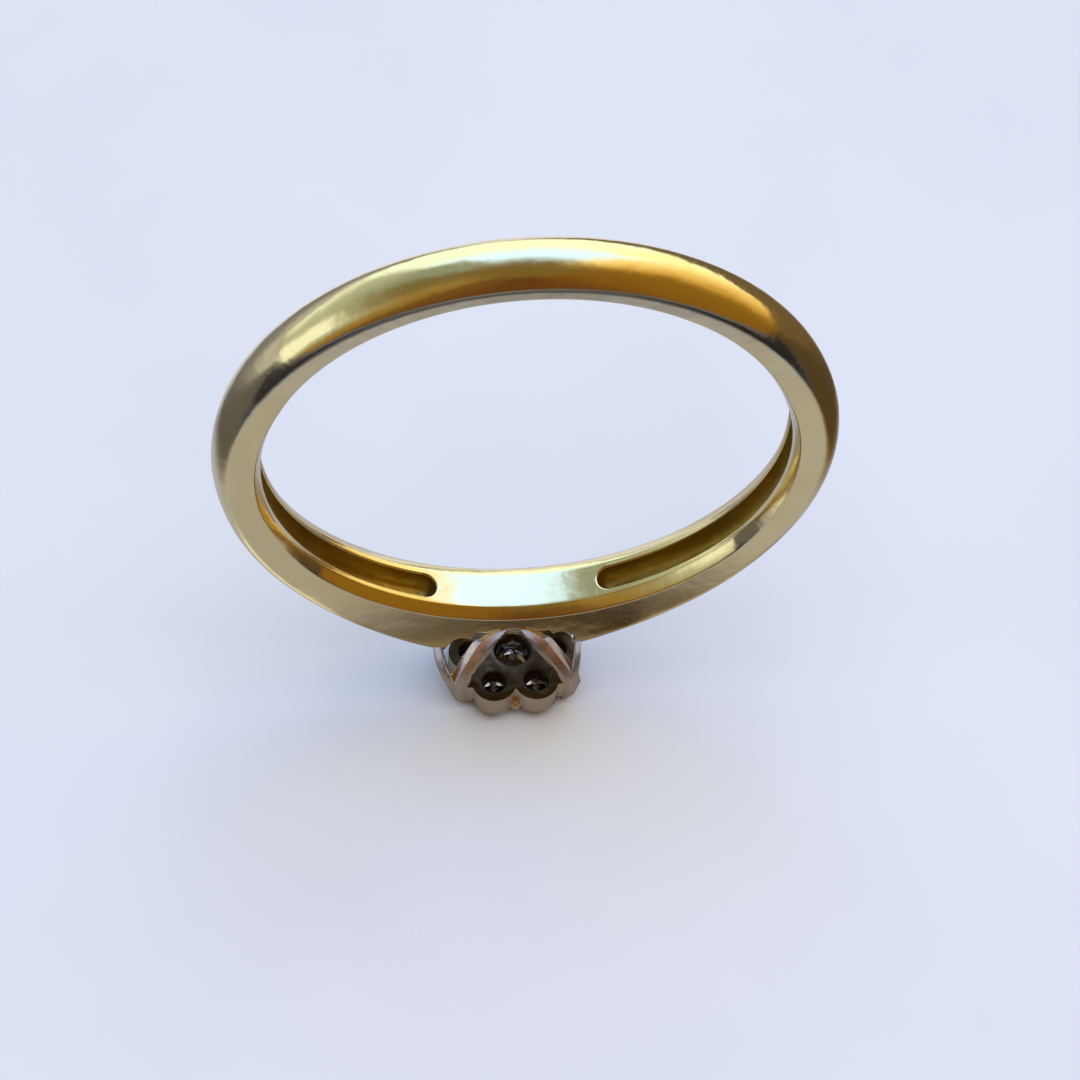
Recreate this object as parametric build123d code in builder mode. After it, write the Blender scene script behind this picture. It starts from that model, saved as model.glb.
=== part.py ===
from build123d import *
import os
from math import sin, cos, tan, radians, degrees, sqrt, atan

# A cluster engagement ring, in millimetres.
# The finger bore runs along Y and its centre is the origin. +Z is up, and the
# ring stands on its head: the claws and the stones are at -Z. Angles round the
# band are in degrees from the head's axis, so 180 is the back of the band.

# ---------------------------------------------------------------- dimensions
bore_radius = 8.50  # finger bore, 17.0 mm across
crest_radius = 10.05  # top of the half-round
side_radius = 9.45  # where the flat side turns into the half-round
shank_width = 2.06
bore_wall = 1.24  # the straight part of the bore, between its eased mouths
mouth_rise = 0.22  # radial height of an eased mouth
back_ease = 0.62  # the same at the back of the band, where it is thinner

shoulder_start = 62.0  # where the shoulders begin to rise out of the circle
shoulder_rise = 0.080  # share of the radius gained at 21 degrees
shoulder_power = 1.65
shoulder_end = {"right": 7.4, "left": 9.4}
windows = {"right": (1.50, -9.99), "left": (-1.87, -10.14)}  # centre of each opening
window_radius = 0.41

slot_width = 0.90  # weight-saving recesses inside the band
slot_depth = 0.62
slot_first = 18.4  # the recess's rounded end beside the head
slot_last = 100.0

head_lean = -0.16  # sideways shift of the claws' feet against the stones
lean_from, lean_to = -12.60, -10.00

claw_gap = 0.04  # solder film between a claw and the side of the band
claw_foot = 0.08  # a leg's thickness at its top
claw_thickness = 0.40  # and where the claw begins
plate_back = -12.25  # the face towards the finger
plate_face = -13.12  # the face that the stones are set in
girdle_level = -13.10
claw_tip_level = -13.62

stone_diameter = 1.36
stone_pitch = 1.44  # centre stone to its neighbours
petal_radius = 0.76
centre_azure_radius = 0.52
outer_azure_radius = 0.34
grain_radius = 0.19

half = shank_width / 2
blank_radius = 8.0  # the band before its bore is opened
side_front = half + claw_gap
os.makedirs("parts", exist_ok=True)


def on_circle(radius, angle, level=0.0):
    """A point at an angle in degrees from +X, in a plane of constant Z."""
    return (radius * cos(radians(angle)), radius * sin(radians(angle)), level)


def radial(angle):
    """The direction at an angle round the band, +X side positive."""
    return (sin(radians(angle)), 0, -cos(radians(angle)))


def section_plane(angle):
    """A plane through the bore's axis: its X points outwards and its Y along the bore."""
    return Plane(
        origin=(0, 0, 0),
        x_dir=radial(angle),
        z_dir=(-cos(radians(angle)), 0, -sin(radians(angle))),
    )


def swell(angle):
    """How much further out the outside stands at an angle, as a ratio."""
    left_over = max(0.0, shoulder_start - abs(angle))
    return 1 + shoulder_rise * (left_over / (shoulder_start - 21)) ** shoulder_power


def dome(inner, ratio):
    """One closed section: flat sides, then a full half-round whose quarters are single curves."""
    start, crest, round_off = side_radius * ratio, crest_radius * ratio, 0.68
    with BuildSketch(Plane.XY) as outline:
        with BuildLine():
            Polyline((start, -half), (inner, -half), (inner, half), (start, half))
            Bezier(
                (start, half),
                (start + round_off * (crest - start), half),
                (crest, half * (1 - round_off)),
                (crest, 0),
            )
            Bezier(
                (crest, 0),
                (crest, -half * (1 - round_off)),
                (start + round_off * (crest - start), -half),
                (start, -half),
            )
        make_face()
    return outline.sketch


# ------------------------------------------------------- recesses in the bore
# One recess on the +X side: an arc of constant depth with full-round ends.
end_turn = degrees(atan(slot_width / 2 / bore_radius))
first_centre = slot_first + end_turn
last_centre = slot_last - end_turn
slot_floor = bore_radius + slot_depth
with BuildPart() as recess:
    with BuildSketch(section_plane(first_centre)):
        with Locations(((bore_radius - 0.4 + slot_floor) / 2, 0)):
            Rectangle(slot_floor - bore_radius + 0.4, slot_width)
    revolve(axis=Axis.Y, revolution_arc=-(last_centre - first_centre))
    for turn in (first_centre, last_centre):
        with BuildSketch(
            Plane(
                origin=tuple((bore_radius - 0.4) * c for c in radial(turn)),
                z_dir=radial(turn),
            )
        ):
            Circle(slot_width / 2)
        extrude(amount=slot_depth + 0.4)

# The mouths of the bore open further towards the back of the band: a skew
# cylinder of the bore's size leans outwards and upwards through each mouth.
relief_from = 0.50
relief_slope = back_ease / (half - relief_from)
with BuildPart() as back_relief:
    for side in (1, -1):
        for level in (0.30, half + 0.10):
            with BuildSketch(Plane.XZ.offset(side * level)):
                with Locations((0, relief_slope * (level - relief_from))):
                    Circle(bore_radius)
        loft()
    split(bisect_by=Plane.XY, keep=Keep.TOP)

# -------------------------------------------------------------------- shank
plain = dome(blank_radius, 1.0)
shoulder_sections = {}
for name, side in (("right", 1), ("left", -1)):
    turns = (shoulder_start, 53, 45, 37, 29, 21, shoulder_end[name])
    shoulder_sections[name] = [(side * turn, dome(blank_radius, swell(turn))) for turn in turns]
with BuildPart() as shank:
    # the circular part of the band, and the land under the stones
    with BuildSketch(section_plane(shoulder_start)):
        add(plain)
    revolve(axis=Axis.Y, revolution_arc=-(360 - 2 * shoulder_start))
    with BuildSketch(section_plane(-shoulder_end["left"])):
        add(plain)
    revolve(axis=Axis.Y, revolution_arc=-(shoulder_end["left"] + shoulder_end["right"]))
    # the shoulders swell out of the circle and rise to the head
    for name in ("right", "left"):
        for turn, section in shoulder_sections[name]:
            with BuildSketch(section_plane(turn)):
                add(section)
        loft()
    # the finger bore and its eased mouths
    with BuildSketch(Plane.XZ.offset(-2)):
        Circle(bore_radius)
    extrude(amount=4, mode=Mode.SUBTRACT)
    for side in (1, -1):
        for level in (bore_wall / 2, half + 0.10):
            with BuildSketch(Plane.XZ.offset(side * level)):
                Circle(bore_radius + mouth_rise * (level - bore_wall / 2) / (half - bore_wall / 2))
        loft(mode=Mode.SUBTRACT)
    # An arched opening under each shoulder, inside the fork of the claws.
    for across, level in windows.values():
        with BuildSketch(Plane.XZ.offset(-2)):
            with Locations((across, level)):
                Circle(window_radius)
            with Locations((across, level - 0.8)):
                Rectangle(2 * window_radius, 1.6)
        extrude(amount=4, mode=Mode.SUBTRACT)
    add(back_relief.part, mode=Mode.SUBTRACT)
    add(recess.part, mode=Mode.SUBTRACT)
    add(recess.part.mirror(Plane.YZ), mode=Mode.SUBTRACT)
shank.part.label = "shank"

# ------------------------------------------------------------------- stones
# A round brilliant of 57 facets, its table towards -Z and its girdle at the
# origin. Every facet is a plane through a known height and radius.
stone_radius = stone_diameter / 2
crown_angle = 34.5
pavilion_angle = 40.8
girdle_height = 0.035 * stone_diameter
table_radius = 0.285 * stone_diameter


def facet(height, radius, angle, turn, up):
    """A cutting plane at a height and radius, leaning at an angle, at a turn about Z. Its normal points away from the stone."""
    lean = radians(angle)
    normal = (
        sin(lean) * cos(radians(turn)),
        sin(lean) * sin(radians(turn)),
        up * cos(lean),
    )
    return Plane(
        origin=(radius * cos(radians(turn)), radius * sin(radians(turn)), height),
        z_dir=normal,
    )


with BuildPart() as brilliant:
    with BuildSketch(Plane.XY.offset(-stone_radius)):
        Circle(stone_radius)
    extrude(amount=2 * stone_radius)
    crown_girdle = -girdle_height / 2
    pavilion_girdle = girdle_height / 2
    table_level = crown_girdle - (stone_radius - table_radius) * tan(radians(crown_angle))
    # the table, eight kites, eight stars and sixteen upper halves
    split(bisect_by=Plane(origin=(0, 0, table_level), z_dir=(0, 0, -1)), keep=Keep.BOTTOM)
    for k in range(8):
        split(
            bisect_by=facet(crown_girdle, stone_radius, crown_angle, 45 * k, -1),
            keep=Keep.BOTTOM,
        )
    for k in range(8):
        split(
            bisect_by=facet(
                table_level, table_radius * cos(radians(22.5)), 22.0, 45 * k + 22.5, -1
            ),
            keep=Keep.BOTTOM,
        )
    for k in range(16):
        split(
            bisect_by=facet(crown_girdle, stone_radius, 41.5, 22.5 * k + 11.25, -1),
            keep=Keep.BOTTOM,
        )
    # eight pavilion mains and sixteen lower halves
    for k in range(8):
        split(
            bisect_by=facet(pavilion_girdle, stone_radius, pavilion_angle, 45 * k, 1),
            keep=Keep.BOTTOM,
        )
    for k in range(16):
        split(
            bisect_by=facet(pavilion_girdle, stone_radius, 42.6, 22.5 * k + 11.25, 1),
            keep=Keep.BOTTOM,
        )

stone_places = {"diamond_centre": (0, 0, girdle_level)}
for k in range(6):
    stone_places[f"diamond_{k + 1}"] = on_circle(stone_pitch, 60 * k, girdle_level)
stones = {}
for name, place in stone_places.items():
    with BuildPart() as stone:
        with Locations(place):
            add(brilliant.part)
    stone.part.label = name
    stones[name] = stone

# -------------------------------------------------------------------- claws
# A claw's fork is flat: a broad inner leg from the side of the band, a thin
# outer leg from the shoulder, and the claw where they meet. The outlines are
# the right-hand claw's, before the head's lean.
inner_leg = [
    (0.24, -9.27),
    (0.44, -9.25),
    (0.90, -9.57),
    (1.25, -9.87),
    (1.38, -10.10),
    (1.73, -10.95),
    (2.07, -11.80),
    (2.27, -12.70),
    (1.62, -12.70),
    (1.44, -11.90),
    (0.93, -10.80),
    (0.52, -9.90),
]
# the outer legs: distance from the middle at the top and at the foot, and width
outer_leg = {1: (2.06, 1.98, 0.23), -1: (2.72, 2.13, 0.30)}
# where each outer leg's solder bead sits: distance from the middle, and level
bead_place = {1: (2.22, -10.38), -1: (2.69, -10.34)}


def lean(x, level):
    """A sideways place after the head's lean: full at the band, none at the stones."""
    share = (level - lean_from) / (lean_to - lean_from)
    return x + head_lean * min(1.0, max(0.0, share))


# each loft of the claw itself: level, distance from the middle, distance in front, width, depth
middle = side_front + claw_thickness / 2
claw_blocks = [
    [(-12.70, 1.93, middle, 0.64, claw_thickness - 0.01), (-13.20, 1.85, middle - 0.03, 0.60, claw_thickness)],
    [(-13.20, 1.85, middle - 0.03, 0.60, claw_thickness), (claw_tip_level, 1.67, middle - 0.15, 0.44, 0.34)],
]
claws = {}
for name, x_side, y_side in (
    ("claw_front_left", -1, -1),
    ("claw_front_right", 1, -1),
    ("claw_back_left", -1, 1),
    ("claw_back_right", 1, 1),
):
    with BuildPart() as claw:
        with BuildSketch(Plane.XZ.offset(side_front)):
            with BuildLine():
                Polyline(*[(lean(x_side * x, z), z) for x, z in inner_leg], close=True)
            make_face()
        extrude(amount=claw_thickness)
        # the leg thins towards its top
        split(
            bisect_by=Plane(
                origin=(0, -(side_front + claw_foot), -9.25),
                x_dir=(1, 0, 0),
                z_dir=(0, -3.4, claw_thickness - claw_foot),
            ),
            keep=Keep.BOTTOM,
        )
        # the outer leg stands under the shoulder
        top, foot, width = outer_leg[x_side]
        with BuildSketch(Plane.XY.offset(-12.60)):
            with Locations((x_side * foot, -(side_front + 0.20))):
                Rectangle(width, 0.34)
        with BuildSketch(Plane.XY.offset(-10.00)):
            with Locations((x_side * top, -0.86)):
                Rectangle(width, 0.30)
        loft()
        # the claw rises past the girdles and folds over the two stones beside it
        for blocks in claw_blocks:
            for level, across, back, width, depth in blocks:
                with BuildSketch(Plane.XY.offset(level)):
                    with Locations((x_side * across, -back)):
                        Rectangle(width, depth)
            loft()
        if y_side > 0:
            mirror(about=Plane.XZ)
            split(bisect_by=Plane.XZ, keep=Keep.BOTTOM)
        add(shank.part, mode=Mode.SUBTRACT)
        for stone in stones.values():
            add(stone.part, mode=Mode.SUBTRACT)
    claw.part.label = name
    claws[name] = claw

# ------------------------------------------------------------ cluster plate
# A plate of six petals with a lug for each claw. Each stone has a seat cut to
# it and a round opening behind it.
with BuildPart() as cluster_plate:
    with BuildSketch(Plane.XY.offset(plate_face)):
        Circle(1.50)
        with PolarLocations(stone_pitch, 6):
            Circle(petal_radius)
        for x_side in (1, -1):
            for y_side in (1, -1):
                with Locations((x_side * 1.62, y_side * 1.22)):
                    Rectangle(0.70, 0.30)
    extrude(amount=plate_back - plate_face)
    with BuildSketch(Plane.XY.offset(plate_face)):
        Circle(centre_azure_radius)
        with PolarLocations(stone_pitch, 6):
            Circle(outer_azure_radius)
    extrude(amount=plate_back - plate_face, mode=Mode.SUBTRACT)
    for stone in stones.values():
        add(stone.part, mode=Mode.SUBTRACT)
    for claw in claws.values():
        add(claw.part, mode=Mode.SUBTRACT)
cluster_plate.part.label = "cluster_plate"

# ------------------------------------------------------------------- grains
# Beads of the plate's metal, pushed over the edges of the stones.
with BuildPart() as inner_grains:
    with PolarLocations(stone_pitch / sqrt(3), 6, start_angle=30):
        with Locations((0, 0, plate_face - 0.03)):
            Sphere(grain_radius)
    add(cluster_plate.part, mode=Mode.SUBTRACT)
    for stone in stones.values():
        add(stone.part, mode=Mode.SUBTRACT)
inner_grains.part.label = "inner_grains"

with BuildPart() as outer_grains:
    with PolarLocations(1.62, 2, start_angle=90):
        with Locations((0, 0, plate_face - 0.05)):
            Sphere(grain_radius + 0.02)
    add(cluster_plate.part, mode=Mode.SUBTRACT)
    for stone in stones.values():
        add(stone.part, mode=Mode.SUBTRACT)
outer_grains.part.label = "outer_grains"

# ------------------------------------------------------------------- solder
# A film between the tops of two claws and the flat side of the band.
film = [
    (-0.42, -9.24),
    (0.42, -9.24),
    (0.58, -9.34),
    (0.40, -9.43),
    (-0.40, -9.43),
    (-0.58, -9.34),
]
with BuildPart() as solder_front:
    with BuildSketch(Plane.XZ.offset(half)):
        with BuildLine():
            Polyline(*[(x + head_lean, z) for x, z in film], close=True)
        make_face()
    extrude(amount=claw_gap)
solder_front.part.label = "solder_front"

with BuildPart() as solder_back:
    add(solder_front.part.mirror(Plane.XZ))
solder_back.part.label = "solder_back"

# A bead where each outer leg meets the shoulder.
with BuildPart() as shoulder_solder:
    for x_side in (1, -1):
        for y_side in (1, -1):
            across, level = bead_place[x_side]
            with Locations((x_side * across, y_side * 0.88, level)):
                Sphere(0.27)
    add(shank.part, mode=Mode.SUBTRACT)
    for claw in claws.values():
        add(claw.part, mode=Mode.SUBTRACT)
shoulder_solder.part.label = "shoulder_solder"

# ------------------------------------------------------------------- export
export_step(shank.part, "parts/shank.step")
for name, claw in claws.items():
    export_step(claw.part, f"parts/{name}.step")
export_step(cluster_plate.part, "parts/cluster_plate.step")
for name, stone in stones.items():
    export_step(stone.part, f"parts/{name}.step")
export_step(inner_grains.part, "parts/inner_grains.step")
export_step(outer_grains.part, "parts/outer_grains.step")
export_step(solder_front.part, "parts/solder_front.step")
export_step(solder_back.part, "parts/solder_back.step")
export_step(shoulder_solder.part, "parts/shoulder_solder.step")
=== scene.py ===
from math import acos, asin, atan2, ceil, cos, degrees, hypot, pi, radians, sin, sqrt

import bmesh
import bpy
from mathutils import Matrix, Vector, noise


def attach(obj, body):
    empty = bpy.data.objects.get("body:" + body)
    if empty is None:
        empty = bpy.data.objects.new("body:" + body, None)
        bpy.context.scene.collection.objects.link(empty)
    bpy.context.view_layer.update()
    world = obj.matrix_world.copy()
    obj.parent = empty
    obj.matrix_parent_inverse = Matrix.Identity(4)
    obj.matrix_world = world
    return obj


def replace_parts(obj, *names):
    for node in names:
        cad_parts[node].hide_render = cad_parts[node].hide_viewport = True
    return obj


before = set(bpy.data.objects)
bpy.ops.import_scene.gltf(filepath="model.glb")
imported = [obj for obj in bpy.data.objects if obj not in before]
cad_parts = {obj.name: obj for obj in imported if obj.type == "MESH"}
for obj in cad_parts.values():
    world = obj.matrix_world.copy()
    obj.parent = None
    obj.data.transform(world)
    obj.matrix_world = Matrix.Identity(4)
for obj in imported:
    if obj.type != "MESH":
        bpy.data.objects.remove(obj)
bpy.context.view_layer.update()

MM = 0.001
scene = bpy.context.scene

# ------------------------------------------------------------- dimensions, mm
BORE = 8.50
SIDE = 9.45
CREST = 10.05
HALF = 1.03
SLOT_HALF = 0.45
SLOT_FLOOR = 9.12
SLOT_FIRST, SLOT_LAST = 18.4, 100.0
TIP = -13.62
PLATE_BACK, PLATE_FACE = -12.25, -13.12
GIRDLE = -13.10
PITCH = 1.44
PETAL = 0.76
LEAN = -0.16


# ================================================================ small tools
def table(points, x):
    """Smooth interpolation through (x, value) pairs, flat beyond both ends."""
    if x <= points[0][0]:
        return points[0][1]
    if x >= points[-1][0]:
        return points[-1][1]
    for i in range(len(points) - 1):
        x0, y0 = points[i]
        x1, y1 = points[i + 1]
        if x0 <= x <= x1:
            ya = points[i - 1] if i else (2 * x0 - x1, 2 * y0 - y1)
            yb = points[i + 2] if i + 2 < len(points) else (2 * x1 - x0, 2 * y1 - y0)
            m0 = (y1 - ya[1]) / (x1 - ya[0])
            m1 = (yb[1] - y0) / (yb[0] - x0)
            h = x1 - x0
            t = (x - x0) / h
            return (
                (2 * t**3 - 3 * t**2 + 1) * y0
                + (t**3 - 2 * t**2 + t) * h * m0
                + (-2 * t**3 + 3 * t**2) * y1
                + (t**3 - t**2) * h * m1
            )
    return points[-1][1]


def smooth(u):
    u = min(1.0, max(0.0, u))
    return u * u * (3 - 2 * u)


def soft_max(a, b, k):
    """The larger of two numbers, with a rounded changeover k wide."""
    h = max(k - abs(a - b), 0.0) / k
    return max(a, b) + h * h * k / 4


def make_object(name, verts, faces, material, smooth_faces=True):
    """A mesh object from points in millimetres, its normals made consistent."""
    mesh = bpy.data.meshes.new(name)
    bm = bmesh.new()
    made = [bm.verts.new(Vector(p) * MM) for p in verts]
    for f in faces:
        ids = []
        for i in f:
            if i not in ids:
                ids.append(i)
        if len(ids) >= 3:
            bm.faces.new([made[i] for i in ids])
    bmesh.ops.recalc_face_normals(bm, faces=bm.faces)
    for f in bm.faces:
        f.smooth = smooth_faces
    bm.to_mesh(mesh)
    bm.free()
    mesh.materials.append(material)
    obj = bpy.data.objects.new(name, mesh)
    scene.collection.objects.link(obj)
    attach(obj, "root")
    return obj


def modifiers_applied(obj):
    """Turns an object's modifiers into its mesh."""
    dg = bpy.context.evaluated_depsgraph_get()
    dg.update()
    new = bpy.data.meshes.new_from_object(obj.evaluated_get(dg))
    obj.modifiers.clear()
    old = obj.data
    obj.data = new
    new.name = obj.name
    bpy.data.meshes.remove(old)
    return obj


def sharp_by_angle(obj, limit):
    """Smooth shading except across edges sharper than limit degrees."""
    mesh = obj.data
    for p in mesh.polygons:
        p.use_smooth = True
    mesh.set_sharp_from_angle(angle=radians(limit))


# ================================================================== materials
def nodes_of(name):
    mat = bpy.data.materials.new(name)
    mat.use_nodes = True
    tree = mat.node_tree
    tree.nodes.clear()
    out = tree.nodes.new("ShaderNodeOutputMaterial")
    return mat, tree, out


def link(tree, a, b):
    tree.links.new(a, b)


def math_node(tree, op, a, b=None, c=None):
    n = tree.nodes.new("ShaderNodeMath")
    n.operation = op
    for i, v in enumerate((a, b, c)):
        if v is None:
            continue
        if isinstance(v, (int, float)):
            n.inputs[i].default_value = v
        else:
            link(tree, v, n.inputs[i])
    return n.outputs[0]


def noise_node(tree, vector, scale, detail=3.0, rough=0.5):
    n = tree.nodes.new("ShaderNodeTexNoise")
    n.inputs["Scale"].default_value = scale
    n.inputs["Detail"].default_value = detail
    n.inputs["Roughness"].default_value = rough
    link(tree, vector, n.inputs["Vector"])
    return n.outputs["Fac"]


def map_range(tree, value, a, b, c, d):
    n = tree.nodes.new("ShaderNodeMapRange")
    n.clamp = True
    link(tree, value, n.inputs["Value"])
    for key, v in (("From Min", a), ("From Max", b), ("To Min", c), ("To Max", d)):
        n.inputs[key].default_value = v
    return n.outputs[0]


def step(tree, value, a, b, c, d):
    """An eased change from c, below a, to d, above b."""
    n = tree.nodes.new("ShaderNodeMapRange")
    n.interpolation_type = "SMOOTHSTEP"
    link(tree, value, n.inputs["Value"])
    for key, v in (("From Min", a), ("From Max", b), ("To Min", c), ("To Max", d)):
        n.inputs[key].default_value = v
    return n.outputs[0]


def mix_colour(tree, factor, a, b):
    n = tree.nodes.new("ShaderNodeMix")
    n.data_type = "RGBA"
    if isinstance(factor, (int, float)):
        n.inputs[0].default_value = factor
    else:
        link(tree, factor, n.inputs[0])
    for slot_i, v in ((6, a), (7, b)):
        if isinstance(v, tuple):
            n.inputs[slot_i].default_value = (*v, 1.0)
        else:
            link(tree, v, n.inputs[slot_i])
    return n.outputs[2]


def metal(name, colour, worn, rough, along_band, wave=0.10):
    """Polished precious metal: polishing lines, fine scratches, soft waviness and tone."""
    mat, tree, out = nodes_of(name)
    bsdf = tree.nodes.new("ShaderNodeBsdfPrincipled")
    link(tree, bsdf.outputs[0], out.inputs["Surface"])
    coords = tree.nodes.new("ShaderNodeTexCoord")
    in_mm = tree.nodes.new("ShaderNodeVectorMath")
    in_mm.operation = "SCALE"
    in_mm.inputs["Scale"].default_value = 1000.0
    link(tree, coords.outputs["Object"], in_mm.inputs[0])
    place = in_mm.outputs[0]
    split = tree.nodes.new("ShaderNodeSeparateXYZ")
    link(tree, place, split.inputs[0])
    if along_band:
        # coordinates that run along the band: arc length, height over the bore, width
        angle = math_node(tree, "ARCTAN2", split.outputs["X"], split.outputs["Z"])
        arc = math_node(tree, "MULTIPLY", angle, 9.3)
        xx = math_node(tree, "MULTIPLY", split.outputs["X"], split.outputs["X"])
        radius = math_node(tree, "SQRT", math_node(tree, "MULTIPLY_ADD", split.outputs["Z"], split.outputs["Z"], xx))
        first, second, third = arc, radius, split.outputs["Y"]
    else:
        first, second, third = split.outputs["X"], split.outputs["Y"], split.outputs["Z"]

    def stretched(a, b, c):
        n = tree.nodes.new("ShaderNodeCombineXYZ")
        for i, (value, by) in enumerate(((first, a), (second, b), (third, c))):
            link(tree, math_node(tree, "MULTIPLY", value, by), n.inputs[i])
        return n.outputs[0]

    lines = noise_node(tree, stretched(0.5, 14.0, 14.0) if along_band else stretched(9.0, 9.0, 1.4), 1.6, 4.0, 0.6)
    fine = noise_node(tree, stretched(1.2, 40.0, 40.0) if along_band else stretched(22.0, 22.0, 3.0), 2.0, 2.0, 0.5)
    mottle = noise_node(tree, place, 0.55, 3.0, 0.55)
    pits = noise_node(tree, place, 7.0, 4.0, 0.65)
    # crossing scratches: thin bands of a warped noise
    cross = noise_node(tree, stretched(3.0, 3.0, 9.0), 1.1, 2.0, 0.4)
    scratch = map_range(tree, math_node(tree, "ABSOLUTE", math_node(tree, "SUBTRACT", cross, 0.5)), 0.0, 0.008, 1.0, 0.0)
    scratch = math_node(tree, "MULTIPLY", scratch, map_range(tree, pits, 0.45, 0.62, 0.0, 1.0))
    # tone
    tone = mix_colour(tree, map_range(tree, mottle, 0.35, 0.68, 0.0, 1.0), colour, worn)
    tone = mix_colour(tree, map_range(tree, lines, 0.30, 0.70, 0.0, 0.22), tone, worn)
    link(tree, tone, bsdf.inputs["Base Color"])
    bsdf.inputs["Metallic"].default_value = 1.0
    r = map_range(tree, mottle, 0.3, 0.7, rough * 0.75, rough * 1.3)
    r = math_node(tree, "ADD", r, map_range(tree, lines, 0.35, 0.75, 0.0, rough * 0.4))
    r = math_node(tree, "ADD", r, math_node(tree, "MULTIPLY", scratch, 0.18))
    link(tree, r, bsdf.inputs["Roughness"])
    # relief
    height = math_node(tree, "MULTIPLY", lines, 0.30)
    height = math_node(tree, "MULTIPLY_ADD", fine, 0.22, height)
    height = math_node(tree, "MULTIPLY_ADD", scratch, -0.35, height)
    small = tree.nodes.new("ShaderNodeBump")
    small.inputs["Strength"].default_value = 0.10
    small.inputs["Distance"].default_value = 0.00002
    link(tree, height, small.inputs["Height"])
    large = tree.nodes.new("ShaderNodeBump")
    large.inputs["Strength"].default_value = wave
    large.inputs["Distance"].default_value = 0.0004
    link(tree, mottle, large.inputs["Height"])
    link(tree, large.outputs[0], small.inputs["Normal"])
    link(tree, small.outputs[0], bsdf.inputs["Normal"])
    return mat


def diamond_material():
    mat, tree, out = nodes_of("diamond")
    bsdf = tree.nodes.new("ShaderNodeBsdfPrincipled")
    bsdf.inputs["Base Color"].default_value = (0.97, 0.985, 1.0, 1.0)
    bsdf.inputs["Transmission Weight"].default_value = 1.0
    bsdf.inputs["IOR"].default_value = 2.417
    coords = tree.nodes.new("ShaderNodeTexCoord")
    film = noise_node(tree, coords.outputs["Object"], 2600.0, 3.0, 0.6)
    link(tree, map_range(tree, film, 0.5, 0.8, 0.0, 0.06), bsdf.inputs["Roughness"])
    tone = mix_colour(tree, map_range(tree, film, 0.35, 0.7, 0.0, 0.3), (0.97, 0.985, 1.0), (0.90, 0.93, 0.97))
    link(tree, tone, bsdf.inputs["Base Color"])
    link(tree, bsdf.outputs[0], out.inputs["Surface"])
    return mat


gold = metal("yellow_gold", (0.91, 0.745, 0.385), (0.87, 0.69, 0.32), 0.115, True)
# cast yellow gold: a rougher unpolished skin, its colour darkened well below the alloy's as painted shade in the
# recesses
gold_cast_painted_shade = metal("yellow_gold_cast_painted_shade", (0.50, 0.345, 0.080), (0.35, 0.225, 0.040), 0.40, True, 0.5)
white = metal("white_gold", (0.92, 0.89, 0.84), (0.84, 0.78, 0.70), 0.16, False, 0.16)
# cast white gold: a rougher unpolished skin, its colour darkened nearly to black as painted shade behind the plate
# and in its holes
white_cast_painted_shade = metal("white_gold_cast_painted_shade", (0.125, 0.088, 0.050), (0.070, 0.046, 0.024), 0.36, False, 0.5)
# on the legs' middle faces a warm copper tone is painted in as a reflection of the gold band
white_painted_reflection = metal("white_gold_painted_reflection", (0.82, 0.46, 0.25), (0.68, 0.34, 0.17), 0.22, False, 0.25)


def fade_reflection_to_plating(mat):
    """The painted reflection fades back into the white plating towards both ends of a leg."""
    tree = mat.node_tree
    bsdf = next(n for n in tree.nodes if n.type == "BSDF_PRINCIPLED")
    warm = bsdf.inputs["Base Color"].links[0].from_socket
    coords = tree.nodes.new("ShaderNodeTexCoord")
    split = tree.nodes.new("ShaderNodeSeparateXYZ")
    link(tree, coords.outputs["Object"], split.inputs[0])
    level = math_node(tree, "MULTIPLY", split.outputs["Z"], 1000.0)
    ragged = math_node(tree, "MULTIPLY", noise_node(tree, coords.outputs["Object"], 2200.0, 3.0, 0.6), 0.5)
    level = math_node(tree, "ADD", level, math_node(tree, "SUBTRACT", ragged, 0.25))
    # the painted reflection covers the middle of the leg's height, with a ragged edge
    patch = math_node(tree, "MULTIPLY", step(tree, level, -12.2, -11.1, 0.0, 1.0), step(tree, level, -9.8, -9.4, 1.0, 0.0))
    link(tree, mix_colour(tree, patch, (0.88, 0.84, 0.78), warm), bsdf.inputs["Base Color"])


fade_reflection_to_plating(white_painted_reflection)
solder_metal = metal("hard_solder", (0.74, 0.68, 0.55), (0.60, 0.53, 0.40), 0.30, False, 0.30)
diamond = diamond_material()

# ================================================================== the shank
# How far the outside stands beyond a plain circle, by angle from the head.
SWELL_RIGHT = [(8, 1.108), (13, 1.096), (17, 1.080), (21, 1.067), (27, 1.050), (33, 1.036), (39, 1.024), (45, 1.014), (51, 1.006), (57, 1.001), (63, 0.998), (75, 0.997), (90, 1.0)]
SWELL_LEFT = [(9, 1.128), (15, 1.112), (21, 1.092), (27, 1.072), (33, 1.055), (39, 1.040), (45, 1.029), (51, 1.021), (57, 1.015), (63, 1.010), (75, 1.003), (90, 1.0)]
END_RIGHT = (6.4, 8.0)
END_LEFT = (8.3, 10.0)
WINDOWS = [(1.50, -9.99), (-1.87, -10.14)]
WINDOW_R = 0.41


def swell(t):
    points, (e0, e1) = (SWELL_RIGHT, END_RIGHT) if t >= 0 else (SWELL_LEFT, END_LEFT)
    t = abs(t)
    if t <= e0:
        return 1.0
    full = table(points, max(t, e1 if t < e1 else t))
    if t < e1:
        return 1 + (full - 1) * smooth((t - e0) / (e1 - e0))
    return full


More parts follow.
